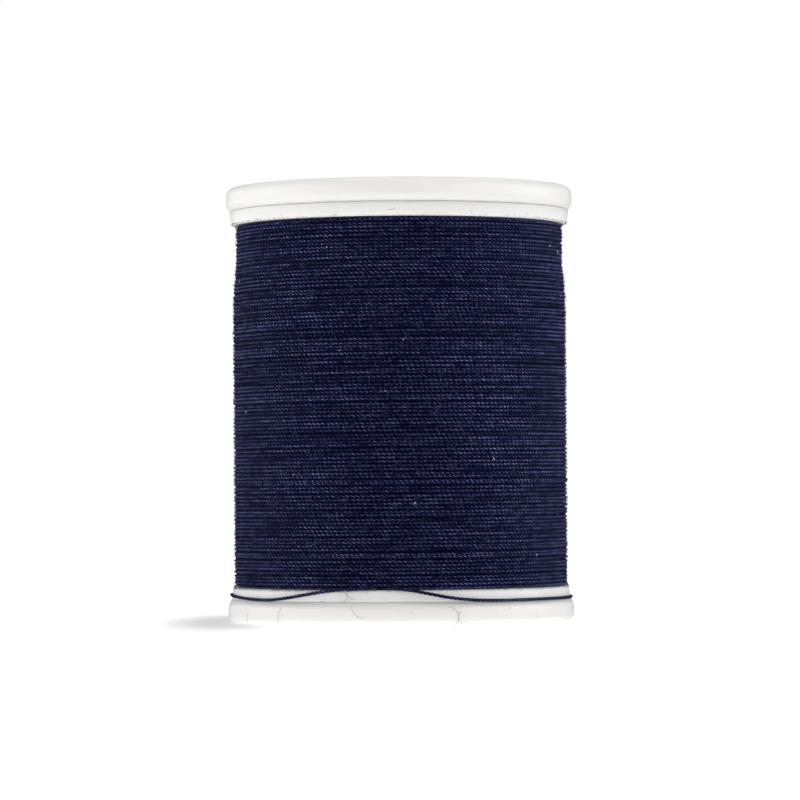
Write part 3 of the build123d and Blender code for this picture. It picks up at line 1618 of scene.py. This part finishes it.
@dataclass
class Barrel:
    """The core tube with its two collars, the bead grooves, the hub and the ribs."""

    height: float = 45.1
    seam: float = 2.43
    foot_collar: float = 1.24
    top_collar: float = 1.46
    radius: float = 17.65
    taper: float = 0.2
    core: float = 9.5
    tube_bore: float = 8.3
    groove: float = 8.78
    groove_span: tuple[float, float] = (4.43, 6.72)
    hub_radius: float = 4.7
    hub_bore: float = 3.5
    hub_start: float = 9.0
    rib_count: int = 3
    rib_thickness: float = 1.0
    rib_inner: float = 5.1
    rib_outer: float = 8.6
    rib_setback: float = 0.6
    rib_edge: float = 0.12
    rib_overlap: float = 0.4
    first_rib: float = 60.0
    mouth: float = 0.3
    tube_rounding: tuple = (0, 0.15, 0.3, 0.4, 0.4, 0.3, 0.15)
    hub_rounding: tuple = (0.2, 0.2, 0.2, 0.2)

    def tube(self) -> bmesh.types.BMesh:
        """The core tube and its collars."""
        low, high = self.groove_span
        rise = self.groove - self.tube_bore
        foot = self.seam + self.foot_collar
        top = self.height - self.seam - self.top_collar
        end = self.height - self.seam
        corners = [
            (self.tube_bore + self.mouth, self.seam),
            (self.radius, self.seam),
            (self.radius - self.taper, foot),
            (self.core, foot),
            (self.core, top),
            (self.radius - self.taper, top),
            (self.radius, end),
            (self.tube_bore + self.mouth, end),
            (self.tube_bore, end - self.mouth),
            (self.tube_bore, self.height - low),
            (self.groove, self.height - low - rise),
            (self.groove, self.height - high),
            (self.tube_bore, self.height - high - rise),
            (self.tube_bore, high + rise),
            (self.groove, high),
            (self.groove, low + rise),
            (self.tube_bore, low),
            (self.tube_bore, self.seam + self.mouth),
        ]
        return Section(corners, self.tube_rounding, segments=6).turned(192)

    def hub(self) -> bmesh.types.BMesh:
        """The spindle hub."""
        low = self.hub_start
        high = self.height - self.hub_start
        corners = [
            (self.hub_bore, low),
            (self.hub_radius, low),
            (self.hub_radius, high),
            (self.hub_bore, high),
        ]
        return Section(corners, self.hub_rounding, segments=3).turned(96)

    def rib(self, number: int) -> bmesh.types.BMesh:
        """One rib, long between the caps' fingers and stepped in to meet the hub.

        Args:
            number: its place round the hub.

        Returns:
            Its shell.
        """
        low = self.seam + self.rib_setback
        high = self.height - low
        step_low = self.hub_start
        step_high = self.height - step_low
        hub = self.hub_radius - self.rib_overlap
        outline = [
            (self.rib_inner, low),
            (self.rib_outer, low),
            (self.rib_outer, high),
            (self.rib_inner, high),
            (self.rib_inner, step_high),
            (hub, step_high),
            (hub, step_low),
            (self.rib_inner, step_low),
        ]
        shape = bmesh.new()
        side = -self.rib_thickness / 2
        points = [shape.verts.new((x * MM, side * MM, z * MM)) for x, z in outline]
        face = shape.faces.new(points)
        thick = bmesh.ops.extrude_face_region(shape, geom=[face])["geom"]
        moved = [item for item in thick if isinstance(item, bmesh.types.BMVert)]
        bmesh.ops.translate(shape, verts=moved, vec=(0, self.rib_thickness * MM, 0))
        bmesh.ops.bevel(
            shape,
            geom=shape.edges[:],
            offset=self.rib_edge * MM,
            segments=2,
            profile=0.5,
            affect="EDGES",
            material=-1,
        )
        angle = math.radians(self.first_rib + 360 * number / self.rib_count)
        turn = Matrix.Rotation(angle, 3, "Z")
        bmesh.ops.rotate(shape, verts=shape.verts, cent=(0, 0, 0), matrix=turn)
        bmesh.ops.recalc_face_normals(shape, faces=shape.faces)
        return shape

    def build(self, finish: bpy.types.Material) -> None:
        """Make the barrel.

        Args:
            finish: the plastic.
        """
        ribs = [self.rib(number) for number in range(self.rib_count)]
        shape = joined("barrel", [self.tube(), self.hub(), *ribs])
        mesh = mesh_from(shape, "barrel_moulding")
        finish_piece("barrel_moulding", mesh, Body.SPOOL, finish, ["barrel"])


@dataclass
class Label:
    """A paper ring in a cap's recess."""

    end: End
    inner: float = 5.0
    outer: float = 15.4
    thickness: float = 0.15
    floor: float = 0.25
    rounding: tuple = (0.03, 0.03)

    def build(self, finish: bpy.types.Material, height: float) -> None:
        """Make the label.

        Args:
            finish: the paper.
            height: the spool's height, in metres.
        """
        face = self.floor - self.thickness
        corners = [
            (self.inner, face),
            (self.outer, face),
            (self.outer, self.floor),
            (self.inner, self.floor),
        ]
        shape = Section(corners, self.rounding, segments=2).turned(160)
        if self.end is End.TOP:
            turned_over(shape, height)
        node = f"{self.end.value}_label"
        mesh = mesh_from(shape, f"{node}_paper")
        finish_piece(f"{node}_paper", mesh, self.end.cap, finish, [node])


def main() -> None:
    """Build the studio, the cord and then every piece of the spool."""
    logging.basicConfig(level=logging.INFO, format="%(name)s: %(message)s")
    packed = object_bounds()
    height = packed[1][2]
    studio = Studio()
    studio.place_camera()
    thread = Thread()
    navy = NavyThread(
        "navy_thread",
        painted_hollow_shade=srgb(0, 1, 8),
        deep=srgb(10, 12, 40),
        pale=srgb(66, 72, 118),
        gloss=0.14,
        lustre=0.6,
    ).material()
    wound = NavyThread("navy_wound_thread").material()
    LooseTurn(thread).build(navy)
    # The core and the under layer take darker copies of the thread's colours: painted shade for the
    # thread deep in the pack.
    inside = NavyThread("navy_core_painted_shade", False, deep=srgb(0, 2, 24), pale=srgb(2, 4, 32), gloss=0.05)
    shaded = NavyThread("navy_under_painted_shade", deep=srgb(2, 3, 28), pale=srgb(18, 20, 52), gloss=0.1)
    winding = Winding(thread)
    winding.build(wound, shaded.material(), inside.material())
    hairs = LooseFibre("navy_fibre", srgb(20, 24, 64), srgb(84, 88, 128)).material()
    Fuzz(winding).build(hairs)
    strays = LooseFibre("stray_fibre", srgb(8, 10, 34), srgb(24, 28, 64)).material()
    lint = LooseFibre("pale_lint", srgb(196, 198, 208), srgb(240, 240, 244)).material()
    StrayFibres(winding).build(strays, lint)
    plastic = WhitePlastic().material()
    paper = PrintedPaper().material()
    Barrel().build(plastic)
    for end in End:
        Cap(end).build(plastic, height)
        Label(end).build(paper, height)
    studio.lay_floor()
    studio.light()


if __name__ == "__main__":
    main()
